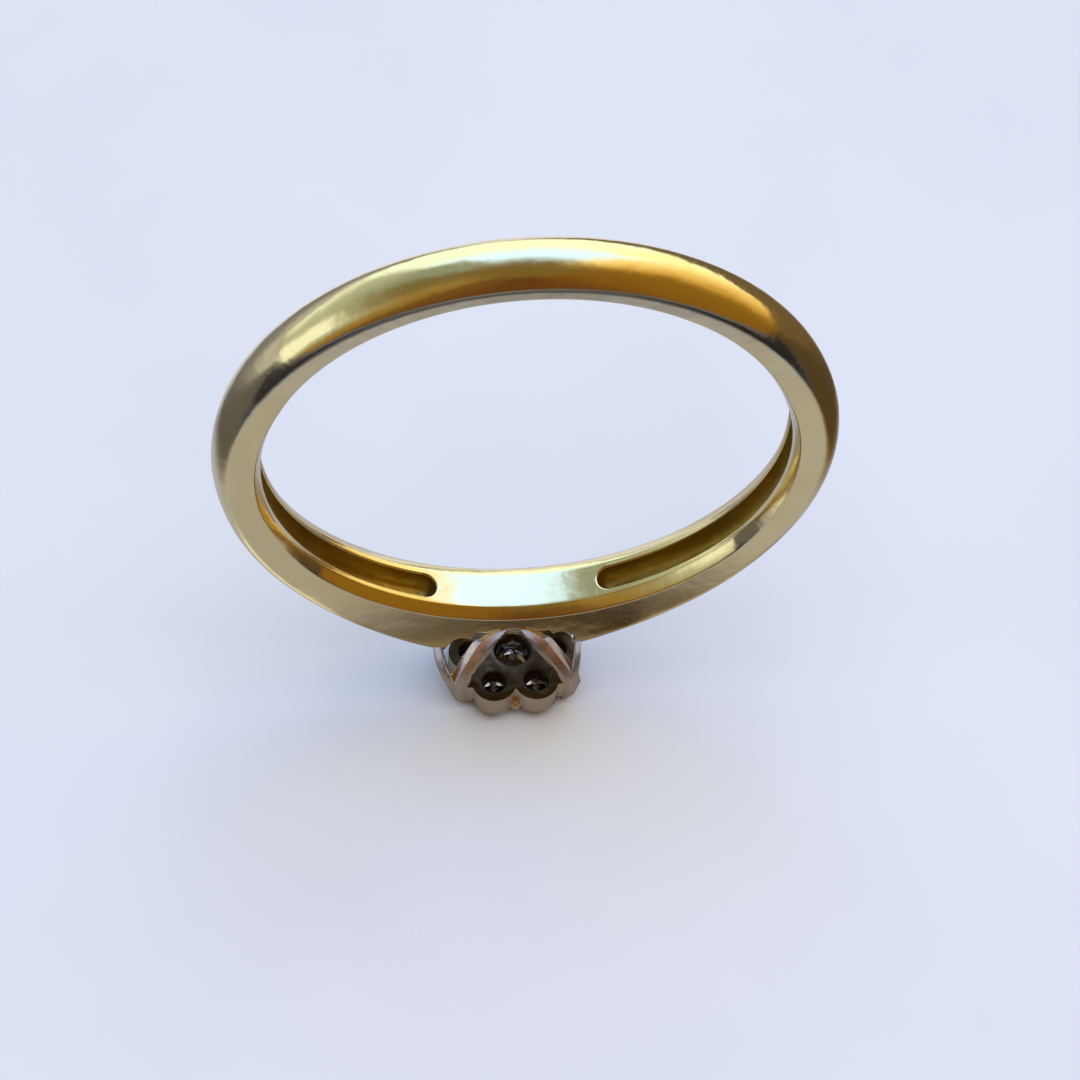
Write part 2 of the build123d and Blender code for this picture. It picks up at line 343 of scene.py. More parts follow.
def inner_radius(t, y):
    """The bore with its eased mouths, wider towards the back of the band."""
    y = abs(y)
    u = max(0.0, y - 0.62) / (HALF - 0.62)
    crown = 0.013 + 0.010 * noise.noise(Vector((t * 0.045, 0.0, 3.1)))
    mouth = BORE + 0.22 * u - 4 * crown * u * (1 - u)
    r = soft_max(BORE, mouth, 0.02) if y > 0.58 else BORE
    g = (y - 0.50) / (HALF - 0.50)
    if g > 0:
        c = 0.62 * g
        back = -c * cos(radians(t)) + sqrt(BORE**2 - (c * sin(radians(t))) ** 2)
        r = soft_max(r, back, 0.035)
    return r


def window_cut(t):
    best = 1e9
    for x, z in WINDOWS:
        rc, tc = hypot(x, z), degrees(atan2(x, -z))
        d = radians(t - tc)
        if abs(rc * sin(d)) < WINDOW_R and abs(d) < 0.3:
            best = min(best, rc * cos(d) - sqrt(WINDOW_R**2 - (rc * sin(d)) ** 2))
    return best


def build_shank():
    rim = SLOT_HALF + 0.05
    first = radians(SLOT_FIRST) * BORE + SLOT_HALF
    last = radians(SLOT_LAST) * BORE - SLOT_HALF
    arc_steps = 12
    slot_columns = []  # (arc length, kind, phi)
    for i in range(arc_steps + 1):
        phi = pi - i * pi / 2 / arc_steps
        slot_columns.append((first + rim * cos(phi), "a", phi))
    straight = ceil((last - first) / (radians(1.2) * BORE))
    for i in range(1, straight):
        slot_columns.append((first + (last - first) * i / straight, "s", 0))
    for i in range(arc_steps + 1):
        phi = pi / 2 - i * pi / 2 / arc_steps
        slot_columns.append((last + rim * cos(phi), "b", phi))
    slot_angles = [degrees(s / BORE) for s, _, _ in slot_columns]
    special = []
    for x, z in WINDOWS:
        tc = degrees(atan2(x, -z))
        reach = degrees(asin(WINDOW_R / hypot(x, z))) * 0.9995
        special += [tc + reach * sin(radians(a)) for a in range(-90, 91, 10)]
    ends = []
    for sign, (e0, e1) in ((1, END_RIGHT), (-1, END_LEFT)):
        ends += [sign * (e0 + (e1 - e0) * u) for u in (0, 0.08, 0.18, 0.3, 0.42, 0.54, 0.66, 0.78, 0.88, 0.96, 1.0)]
        ends += [sign * (e1 + 0.25)]
    special += [t for t in ends if all(abs(t - s) > 0.07 for s in special)]
    fixed = special + slot_angles + [-a for a in slot_angles]
    base = [-180 + i * 1.2 for i in range(300)]

    def near(t):
        for sign in (1, -1):
            if slot_angles[0] - 0.3 < sign * t < slot_angles[-1] + 0.3:
                return True
        return any(abs(t - f) < 0.2 for f in special)

    angles = sorted([t for t in base if not near(t)] + fixed)
    kept = []
    for t in angles:
        if not kept or t - kept[-1] > 1e-4:
            kept.append(t)
    angles = kept
    slot_index = {}
    for j, t in enumerate(slot_angles):
        for sign in (1, -1):
            column = min(range(len(angles)), key=lambda c: abs(angles[c] - sign * t))
            slot_index[column] = (sign, j)

    def opening(column):
        """Half the recess's width at the rim, at a column."""
        if column not in slot_index:
            return 0.0
        _, j = slot_index[column]
        if j == 0 or j == len(slot_columns) - 1:
            return 0.0
        _, kind, phi = slot_columns[j]
        return rim * sin(phi) if kind in "ab" else rim

    verts, faces, shaded_cast_faces = [], [], set()

    def point(t, r, y):
        a = radians(t)
        verts.append((r * sin(a), y, -r * cos(a)))
        return len(verts) - 1

    grid = []
    for c, t in enumerate(angles):
        k = swell(t)
        cut = window_cut(t)
        start, crest = SIDE * k, CREST * k
        lo = opening(c)
        rows = []
        for u in (0.0, 0.12, 0.5, 0.88, 1.0):
            y = lo + (0.56 - lo) * u
            rows.append((inner_radius(t, y), y))
        for y in (0.585, 0.605, 0.625, 0.65, 0.70, 0.76, 0.82, 0.88, 0.93, 0.965, 0.985):
            rows.append((inner_radius(t, y), y))
        edge = inner_radius(t, HALF)
        rows += [(edge - 0.012, HALF - 0.025), (edge + 0.001, HALF - 0.010), (edge + 0.018, HALF - 0.002), (edge + 0.045, HALF), (edge + 0.078, HALF)]
        top_side = start - 0.02
        for u in (0.25, 0.5, 0.75, 0.93):
            rows.append((min(edge + 0.078 + (top_side - edge - 0.078) * u, cut - 0.012 * (1 - u)), HALF))
        for u in (0, 0.04, 0.08, 0.13, 0.19, 0.26, 0.34, 0.42, 0.50, 0.58, 0.66, 0.74, 0.82, 0.90, 0.95, 1.0):
            a0, a1, a2, a3 = (1 - u) ** 3, 3 * u * (1 - u) ** 2, 3 * u * u * (1 - u), u**3
            r = a0 * start + a1 * (start + 0.68 * (crest - start)) + (a2 + a3) * crest
            y = (a0 + a1) * HALF + a2 * HALF * 0.32
            rows.append((min(r, cut), y))
        upper, lower = [], []
        for i, (r, y) in enumerate(rows):
            up = point(t, r, y)
            upper.append(up)
            lower.append(up if y < 1e-9 else point(t, r, -y))
        grid.append((upper, lower))
    n = len(angles)
    for c in range(n):
        a, b = grid[c], grid[(c + 1) % n]
        for side in (0, 1):
            for i in range(len(a[side]) - 1):
                faces.append((a[side][i], b[side][i], b[side][i + 1], a[side][i + 1]))
    # the recesses, from the rounded rim to the floor
    loops = [(rim - 0.06 * sin(radians(a)), BORE + 0.06 * (1 - cos(radians(a)))) for a in (22, 45, 67, 90)]
    for a in (4, 10, 18, 27, 36, 45, 54, 63, 72, 80):
        loops.append((0.437 * cos(radians(a)) ** 0.8, BORE + 0.06 + (SLOT_FLOOR - BORE - 0.06) * sin(radians(a)) ** 0.9))
    # the deeper loops and the floor of each recess take the cast metal, whose dark colour is painted shade
    shaded_cast_from = len(loops) - 11
    for sign in (1, -1):
        columns = sorted((j, c) for c, (s, j) in slot_index.items() if s == sign)
        previous = [(grid[c][0][0], grid[c][1][0]) for _, c in columns]
        for step, (hw, r) in enumerate(loops):
            ring = []
            for j, _ in columns:
                s, kind, phi = slot_columns[j]
                if kind == "a":
                    along, y = first + hw * cos(phi), hw * sin(phi)
                elif kind == "b":
                    along, y = last + hw * cos(phi), hw * sin(phi)
                else:
                    along, y = s, hw
                t = sign * degrees(along / BORE)
                if j in (0, len(slot_columns) - 1):
                    p = point(t, r, 0.0)
                    ring.append((p, p))
                else:
                    ring.append((point(t, r, y), point(t, r, -y)))
            for i in range(len(ring) - 1):
                for side in (0, 1):
                    if step > shaded_cast_from:
                        shaded_cast_faces.add(len(faces))
                    faces.append((previous[i][side], previous[i + 1][side], ring[i + 1][side], ring[i][side]))
            previous = ring
        for i in range(len(previous) - 1):
            shaded_cast_faces.add(len(faces))
            faces.append((previous[i][0], previous[i + 1][0], previous[i + 1][1], previous[i][1]))
    obj = make_object("ring_shank", verts, faces, gold)
    obj.data.materials.append(gold_cast_painted_shade)
    # the recess floors get the cast metal with its painted shade
    for i in shaded_cast_faces:
        obj.data.polygons[i].material_index = 1
    # the land and the bore shade as the true cylinder
    rims = {grid[c][side][0] for c in slot_index for side in (0, 1)}
    normals = [v.normal.copy() for v in obj.data.vertices]
    for i, (px, py, pz) in enumerate(verts):
        r = hypot(px, pz)
        if abs(r - BORE) < 1e-4 and abs(py) < 0.561 and i not in rims:
            normals[i] = Vector((-px / r, 0.0, -pz / r))
    obj.data.normals_split_custom_set_from_vertices(normals)
    return obj


shank = build_shank()
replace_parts(shank, "shank")


# ==================================================================== claws
def lean(x, level):
    share = (level + 12.60) / 2.60
    return x + LEAN * min(1.0, max(0.0, share))


def loft(stations, cap=True):
    """Joins polygons of equal count into a closed tube. Returns points and faces."""
    verts, faces = [], []
    count = len(stations[0])
    for s in stations:
        verts += s
    for i in range(len(stations) - 1):
        for j in range(count):
            a, b = i * count + j, i * count + (j + 1) % count
            faces.append((a, b, b + count, a + count))
    if cap:
        faces.append(tuple(range(count)))
        faces.append(tuple((len(stations) - 1) * count + j for j in range(count)))
    return verts, faces


INNER_EDGE = [(-9.27, 0.24), (-9.90, 0.52), (-10.20, 0.62), (-10.80, 0.93), (-11.40, 1.20), (-11.90, 1.44), (-12.30, 1.58), (-12.70, 1.62), (-13.20, 1.57), (-13.62, 1.46)]
OUTER_EDGE = [(-9.27, 0.44), (-9.57, 0.90), (-9.87, 1.25), (-10.10, 1.38), (-10.95, 1.73), (-11.80, 2.07), (-12.30, 2.22), (-12.70, 2.27), (-13.20, 2.15), (-13.62, 1.89)]
FRONT = [(-9.27, 1.085), (-9.60, 1.17), (-9.92, 1.22), (-11.00, 1.33), (-12.20, 1.44), (-12.90, 1.47), (-13.25, 1.44), (-13.62, 1.30)]
BACK = [(-9.27, 1.025), (-10.40, 1.00), (-12.70, 1.07), (-13.20, 1.04), (-13.62, 0.95)]
# the outer legs: level, middle, half width, front and back, on the left and on the right
OUTER_LEG = {
    -1: [(-10.12, 2.69, 0.150, 0.985, 0.70), (-10.40, 2.68, 0.155, 1.08, 0.78), (-10.9, 2.61, 0.16, 1.20, 0.88), (-11.4, 2.50, 0.16, 1.28, 0.96), (-11.9, 2.34, 0.16, 1.36, 1.03), (-12.4, 2.14, 0.15, 1.40, 1.10)],
    1: [(-10.20, 2.06, 0.115, 0.985, 0.70), (-10.45, 2.07, 0.120, 1.08, 0.80), (-10.9, 2.08, 0.125, 1.20, 0.90), (-11.4, 2.06, 0.13, 1.28, 0.98), (-11.9, 2.02, 0.13, 1.36, 1.04), (-12.4, 1.96, 0.12, 1.40, 1.10)],
}


def straight(points, x):
    points = sorted(points)
    if x <= points[0][0]:
        return points[0][1]
    for (x0, y0), (x1, y1) in zip(points, points[1:]):
        if x <= x1:
            return y0 + (y1 - y0) * (x - x0) / (x1 - x0)
    return points[-1][1]


def build_claw(name, xs, ys):
    levels = [-9.27, -9.36, -9.46, -9.57, -9.72, -9.87, -9.98, -10.10, -10.40, -10.80, -11.20, -11.60, -12.00, -12.35, -12.70, -12.95, -13.15, -13.32, -13.45, -13.54, -13.595, -13.62]
    stations = []
    for z in levels:
        i0, i1 = straight(INNER_EDGE, z), straight(OUTER_EDGE, z)
        f, b = straight(FRONT, z), straight(BACK, z)
        # the tip is rounded over
        u = max(0.0, (-12.98 - z) / (13.62 - 12.98))
        shrink = sqrt(max(0.02, 1 - u**2.6 * 0.96))
        mid, half_w = (i0 + i1) / 2, (i1 - i0) / 2 * shrink
        i0, i1 = mid - half_w, mid + half_w
        f = b + (f - b) * (0.55 + 0.45 * shrink)
        w, d = i1 - i0, f - b
        chamfer = min(1.0, 0.45 + (-9.27 - z) * 0.9)
        profile = [
            (i0, b),
            (i0, b + d * (1 - 0.40 * chamfer)),
            (i0 + w * 0.10 * chamfer, f - d * 0.10 * chamfer),
            (i0 + w * 0.40, f),
            (i0 + w * (1 - 0.21 * chamfer), f - d * 0.28 * chamfer),
            (i1, b + d * (1 - 0.88 * chamfer)),
            (i1, b),
        ]
        stations.append([(lean(xs * x, z), ys * y, z) for x, y in profile])
    verts, faces = loft(stations)
    # the outer leg: a slimmer bar under the shoulder
    bars = []
    for z, x, hw, front_y, back_y in OUTER_LEG[xs]:
        x = x * xs
        c = hw * 0.45
        profile = [
            (-hw, back_y), (-hw, front_y - c * 1.4), (-hw + c, front_y - 0.01), (0.0, front_y),
            (hw - c, front_y - 0.015), (hw, front_y - c * 1.6), (hw, back_y),
        ]
        bars.append([(x + xs * px, ys * py, z) for px, py in profile])
    more, more_faces = loft(bars)
    base = len(verts)
    verts += more
    faces += [tuple(i + base for i in f) for f in more_faces]
    obj = make_object(name, verts, faces, white)
    obj.data.materials.append(white_painted_reflection)
    for face in obj.data.polygons:
        # the middle facet of the leg takes the painted reflection
        if face.index < 7 * (len(levels) - 1) and face.index % 7 == 3:
            face.material_index = 1
    # the two bars become one piece, then its edges are softened
    other = split_off(obj, base)
    union(obj, other)
    bevel(obj, 0.022, 3, 22)
    return obj


def split_off(obj, first_vertex):
    """Takes the vertices from first_vertex on into a second, unlisted object."""
    other_mesh = obj.data.copy()
    other = bpy.data.objects.new(obj.name + "_part", other_mesh)
    scene.collection.objects.link(other)
    for mesh, keep_low in ((obj.data, True), (other_mesh, False)):
        bm = bmesh.new()
        bm.from_mesh(mesh)
        bm.verts.ensure_lookup_table()
        gone = [v for v in bm.verts if (v.index < first_vertex) != keep_low]
        bmesh.ops.delete(bm, geom=gone, context="VERTS")
        bmesh.ops.recalc_face_normals(bm, faces=bm.faces)
        bm.to_mesh(mesh)
        bm.free()
    return other


def boolean(obj, other, operation):
    m = obj.modifiers.new("cut", "BOOLEAN")
    m.operation = operation
    m.solver = "EXACT"
    m.object = other
    modifiers_applied(obj)
    mesh = other.data
    bpy.data.objects.remove(other)
    bpy.data.meshes.remove(mesh)


def union(obj, other):
    boolean(obj, other, "UNION")


def bevel(obj, width, segments, angle, sharp=35):
    m = obj.modifiers.new("soften", "BEVEL")
    m.width = width * MM
    m.segments = segments
    m.limit_method = "ANGLE"
    m.angle_limit = radians(angle)
    m.use_clamp_overlap = True
    m.harden_normals = False
    modifiers_applied(obj)
    bm = bmesh.new()
    bm.from_mesh(obj.data)
    bmesh.ops.remove_doubles(bm, verts=bm.verts, dist=1e-7)
    bmesh.ops.dissolve_degenerate(bm, edges=bm.edges, dist=1e-7)
    bm.to_mesh(obj.data)
    bm.free()
    sharp_by_angle(obj, sharp)


for name, xs, ys in (
    ("claw_front_left", -1, -1),
    ("claw_front_right", 1, -1),
    ("claw_back_left", -1, 1),
    ("claw_back_right", 1, 1),
):
    piece = build_claw("ring_" + name, xs, ys)
    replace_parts(piece, name)


# ============================================================ cluster plate
def prism(name, outline, z0, z1):
    verts = [(x, y, z0) for x, y in outline] + [(x, y, z1) for x, y in outline]
    n = len(outline)
    faces = [tuple(range(n)), tuple(range(n, 2 * n))]
    faces += [(i, (i + 1) % n, n + (i + 1) % n, n + i) for i in range(n)]
    mesh = bpy.data.meshes.new(name)
    bm = bmesh.new()
    made = [bm.verts.new(Vector(p) * MM) for p in verts]
    for f in faces:
        bm.faces.new([made[i] for i in f])
    bmesh.ops.recalc_face_normals(bm, faces=bm.faces)
    bm.to_mesh(mesh)
    bm.free()
    obj = bpy.data.objects.new(name, mesh)
    scene.collection.objects.link(obj)
    return obj


def lathe(name, cx, cy, profile, count=40, turn=0.0):
    """A solid of revolution about a vertical axis through (cx, cy); profile is (radius, z)."""
    verts, faces = [], []
    for r, z in profile:
        for i in range(count):
            a = 2 * pi * i / count + turn
            verts.append((cx + r * cos(a), cy + r * sin(a), z))
    for k in range(len(profile) - 1):
        for i in range(count):
            j = (i + 1) % count
            faces.append((k * count + i, k * count + j, (k + 1) * count + j, (k + 1) * count + i))
    faces.append(tuple(range(count)))
    faces.append(tuple((len(profile) - 1) * count + i for i in range(count)))
    mesh = bpy.data.meshes.new(name)
    bm = bmesh.new()
    made = [bm.verts.new(Vector(p) * MM) for p in verts]
    for f in faces:
        bm.faces.new([made[i] for i in f])
    bmesh.ops.recalc_face_normals(bm, faces=bm.faces)
    bm.to_mesh(mesh)
    bm.free()
    obj = bpy.data.objects.new(name, mesh)
    scene.collection.objects.link(obj)
    return obj


STONES = [(0.0, 0.0)] + [(PITCH * cos(radians(60 * k)), PITCH * sin(radians(60 * k))) for k in range(6)]


def build_plate():
    outline = []
    count = 240
    for i in range(count):
        a = 2 * pi * (i + 0.5) / count
        ux, uy = cos(a), sin(a)
        reach = 1.50
        for x, y in STONES[1:]:
            along, off = x * ux + y * uy, x * uy - y * ux
            if abs(off) < PETAL:
                reach = max(reach, along + sqrt(PETAL**2 - off * off))
        # a lug for each claw, blended into the petals
        for lx in (-1.72, 1.72):
            for ly in (-1.16, 1.16):
                along, off = lx * ux + ly * uy, lx * uy - ly * ux
                if abs(off) < 0.34 and along > 0:
                    reach = max(reach, along + sqrt(0.34**2 - off * off) * 0.45)
        outline.append((reach * ux, reach * uy))
    plate = prism("ring_cluster_plate", outline, PLATE_BACK, PLATE_FACE)
    m = plate.modifiers.new("edge", "BEVEL")
    m.width, m.segments, m.limit_method, m.angle_limit = 0.07 * MM, 3, "ANGLE", radians(60)
    modifiers_applied(plate)
    for k, (x, y) in enumerate(STONES):
        hole = 0.54 if k == 0 else 0.34
        flare = 0.12 if k == 0 else 0.10
        # the opening, flared towards the finger, and the seat that takes the stone
        profile = [
            (hole + flare + 0.06, PLATE_BACK + 0.06),
            (hole + flare, PLATE_BACK - 0.001),
            (hole + 0.015, PLATE_BACK - 0.17),
            (hole, PLATE_BACK - 0.24),
            (hole, GIRDLE + 0.33),
            (max(hole, 0.69), GIRDLE + 0.03),
            (0.69, PLATE_FACE - 0.10),
        ]
        cutter = lathe(f"cut_{k}", x, y, profile, 40, 0.013 * k)
        boolean(plate, cutter, "DIFFERENCE")
    bevel(plate, 0.018, 2, 28, 40)
    plate.data.materials.clear()
    plate.data.materials.append(white)
    plate.data.materials.append(white_cast_painted_shade)
    # the plate's back and its hole walls take the cast metal with its painted shade
    for p in plate.data.polygons:
        out_from_middle = p.center.xy.length / MM
        inside = abs(p.normal.z) < 0.9 and p.normal.xy.dot(p.center.xy) < 0 or any(
            hypot(p.center.x / MM - x, p.center.y / MM - y) < 0.62 for x, y in STONES
        )
        if p.normal.z > 0.25 or (inside and p.center.z / MM > PLATE_FACE + 0.02 and out_from_middle < 2.1):
            p.material_index = 1
    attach(plate, "root")
    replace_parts(plate, "cluster_plate")
    return plate


plate = build_plate()


# ============================================================ grains, solder
def bead(cx, cy, cz, rx, ry, rz, seed, verts, faces, rings=10, around=20):
    """A lumpy bead; its points and faces are added to the lists."""
    base = len(verts)
    for i in range(1, rings):
        phi = pi * i / rings
        for j in range(around):
            a = 2 * pi * j / around
            d = Vector((sin(phi) * cos(a), sin(phi) * sin(a), cos(phi)))
            lump = 1 + 0.05 * noise.noise(d * 1.7 + Vector((seed * 3.1, 0, 0)))
            verts.append((cx + rx * d.x * lump, cy + ry * d.y * lump, cz + rz * d.z * lump))
    top, bottom = len(verts), len(verts) + 1
    verts.append((cx, cy, cz + rz))
    verts.append((cx, cy, cz - rz))
    for i in range(rings - 2):
        for j in range(around):
            k = (j + 1) % around
            faces.append((base + i * around + j, base + i * around + k, base + (i + 1) * around + k, base + (i + 1) * around + j))
    for j in range(around):
        k = (j + 1) % around
        faces.append((top, base + j, base + k))
        last = base + (rings - 2) * around
        faces.append((bottom, last + j, last + k))


verts, faces = [], []
for k in range(6):
    a = radians(30 + 60 * k)
    bead(PITCH / sqrt(3) * cos(a), PITCH / sqrt(3) * sin(a), PLATE_FACE - 0.03, 0.185, 0.185, 0.20, k, verts, faces)
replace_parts(make_object("ring_inner_grains", verts, faces, white), "inner_grains")
verts, faces = [], []
for k in range(2):
    a = radians(90 + 180 * k)
    bead(1.62 * cos(a), 1.62 * sin(a), PLATE_FACE - 0.05, 0.21, 0.20, 0.20, 9 + k, verts, faces)
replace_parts(make_object("ring_outer_grains", verts, faces, white), "outer_grains")


def build_film(name, ys):
    """Solder drawn in between two claws' feet and the side of the band."""
    outline = [(-0.42, -9.27), (-0.20, -9.235), (0.0, -9.225), (0.20, -9.235), (0.42, -9.27), (0.60, -9.38), (0.56, -9.45), (0.38, -9.46), (0.16, -9.40), (0.0, -9.385), (-0.16, -9.40), (-0.38, -9.46), (-0.56, -9.45), (-0.60, -9.38)]
    stations = []
    for y, grow in ((HALF - 0.01, 1.0), (HALF + 0.008, 1.0), (HALF + 0.018, 0.95), (HALF + 0.022, 0.85)):
        stations.append([((x * grow) + LEAN, ys * y, -9.34 + (z + 9.34) * grow) for x, z in outline])
    v, f = loft(stations)
    return make_object(name, v, f, solder_metal)


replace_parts(build_film("ring_solder_front", -1), "solder_front")
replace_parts(build_film("ring_solder_back", 1), "solder_back")

verts, faces = [], []
for n, (xs, ys) in enumerate(((1, 1), (1, -1), (-1, 1), (-1, -1))):
    bead(2.06 if xs > 0 else -2.69, ys * 0.86, -10.28 if xs < 0 else -10.42, 0.19, 0.15, 0.12, 20 + n, verts, faces)
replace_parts(make_object("ring_shoulder_solder", verts, faces, solder_metal), "shoulder_solder")

# ================================================================== stones
for name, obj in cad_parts.items():
    if name.startswith("diamond"):
        obj.data.materials.clear()
        obj.data.materials.append(diamond)


# ============================================================ floor and light
def build_floor():
    mat, tree, out = nodes_of("pale_floor")
    bsdf = tree.nodes.new("ShaderNodeBsdfPrincipled")
    bsdf.inputs["Roughness"].default_value = 0.9
    bsdf.inputs["Specular IOR Level"].default_value = 0.1
    coords = tree.nodes.new("ShaderNodeTexCoord")
    patch = noise_node(tree, coords.outputs["Object"], 90.0, 3.0, 0.5)
    tone = mix_colour(tree, map_range(tree, patch, 0.3, 0.7, 0.0, 1.0), (0.760, 0.780, 0.850), (0.730, 0.750, 0.830))
    # What the polished metal mirrors of the floor is dimmer, with painted light and shade: a painted
    # shadow round the head, and painted dim ground far in front and to the sides.
    in_mm = tree.nodes.new("ShaderNodeVectorMath")
    in_mm.operation = "SCALE"
    in_mm.inputs["Scale"].default_value = 1000.0
    link(tree, coords.outputs["Object"], in_mm.inputs[0])
    split = tree.nodes.new("ShaderNodeSeparateXYZ")
    link(tree, in_mm.outputs[0], split.inputs[0])
    x, y = split.outputs["X"], split.outputs["Y"]
    # painted dimming to the sides and far in front, painted brighter ground behind
    sides = math_node(tree, "MULTIPLY", step(tree, x, -24, -16, 0.25, 1.0), step(tree, x, 12, 23, 1.0, 0.18))
    ex = math_node(tree, "MULTIPLY", math_node(tree, "ADD", x, -2.5), 1 / 10.0)
    ey = math_node(tree, "MULTIPLY", math_node(tree, "ADD", y, 1.0), 1 / 5.5)
    reach = math_node(tree, "SQRT", math_node(tree, "MULTIPLY_ADD", ex, ex, math_node(tree, "MULTIPLY", ey, ey)))
    clear_of_head_shadow = step(tree, reach, 0.55, 1.2, 0.0, 1.0)
    half_x = math_node(tree, "MULTIPLY", x, 0.5)
    close = step(tree, math_node(tree, "SQRT", math_node(tree, "MULTIPLY_ADD", half_x, half_x, math_node(tree, "MULTIPLY", y, y))), 3.2, 4.2, 0.62, 0.0)
    front = step(tree, y, -25, -16, 0.28, 1.0)
    behind = step(tree, y, 10, 26, 1.0, 1.8)
    amount = math_node(tree, "MULTIPLY", sides, math_node(tree, "MULTIPLY", front, behind))
    amount = math_node(tree, "MULTIPLY", amount, 0.66)
    # painted pools of light just left and right of the head
    lit_left = math_node(tree, "MULTIPLY", math_node(tree, "MULTIPLY", step(tree, x, -15.0, -12.0, 0.0, 1.0), step(tree, x, -7.2, -5.4, 1.0, 0.0)), math_node(tree, "MULTIPLY", step(tree, y, -5.6, -4.4, 0.0, 1.0), step(tree, y, -1.2, 0.4, 1.0, 0.0)))
    lit_right = math_node(tree, "MULTIPLY", math_node(tree, "MULTIPLY", step(tree, x, 4.2, 5.6, 0.0, 1.0), step(tree, x, 9.5, 12.0, 1.0, 0.0)), math_node(tree, "MULTIPLY", step(tree, y, -4.6, -3.4, 0.0, 1.0), step(tree, y, -0.6, 0.8, 1.0, 0.0)))
    amount = math_node(tree, "MAXIMUM", amount, lit_left)
    # painted light added far in front and far to the left behind
    amount = math_node(tree, "ADD", amount, step(tree, y, -140, -50, 0.25, 0.0))
    far_left = math_node(tree, "MULTIPLY", step(tree, x, -120, -26, 0.52, 0.0), step(tree, y, 2, 22, 0.0, 1.0))
    amount = math_node(tree, "ADD", amount, far_left)
    # painted colours: a dark painted shadow round the head, a warm painted tone close to it, amber to the right,
    # cool blue in front and the painted pools of light
    painted_floor_light = mix_colour(tree, clear_of_head_shadow, (0.090, 0.062, 0.050), (0.740, 0.760, 0.900))
    painted_floor_light = mix_colour(tree, close, painted_floor_light, (0.72, 0.64, 0.56))
    painted_floor_light = mix_colour(tree, step(tree, x, 13, 21, 0.0, 1.0), painted_floor_light, (0.74, 0.50, 0.26))
    painted_floor_light = mix_colour(tree, step(tree, y, -18.5, -13.5, 1.0, 0.0), painted_floor_light, (0.56, 0.63, 1.02))
    painted_floor_light = mix_colour(tree, lit_left, painted_floor_light, (0.97, 0.95, 0.88))
    painted_floor_light = mix_colour(tree, math_node(tree, "MULTIPLY", lit_right, 0.8), painted_floor_light, (0.90, 0.78, 0.64))
    patch_tone = tree.nodes.new("ShaderNodeVectorMath")
    patch_tone.operation = "MULTIPLY"
    link(tree, painted_floor_light, patch_tone.inputs[0])
    link(tree, mix_colour(tree, map_range(tree, patch, 0.3, 0.7, 0.0, 1.0), (1.0, 1.0, 1.0), (0.93, 0.93, 0.95)), patch_tone.inputs[1])
    # the camera sees the plain pale tone, reflections see the painted light and shade
    seen = tree.nodes.new("ShaderNodeLightPath").outputs["Is Camera Ray"]
    dimmed = tree.nodes.new("ShaderNodeVectorMath")
    dimmed.operation = "SCALE"
    link(tree, patch_tone.outputs[0], dimmed.inputs[0])
    link(tree, amount, dimmed.inputs["Scale"])
    link(tree, mix_colour(tree, seen, dimmed.outputs[0], tone), bsdf.inputs["Base Color"])
    link(tree, bsdf.outputs[0], out.inputs["Surface"])
    mesh = bpy.data.meshes.new("floor")
    s, z = 0.6, (TIP - 0.02) * MM
    mesh.from_pydata([(-s, -s, z), (s, -s, z), (s, s, z), (-s, s, z)], [], [(0, 1, 2, 3)])
    mesh.materials.append(mat)
    obj = bpy.data.objects.new("floor", mesh)
    scene.collection.objects.link(obj)


build_floor()


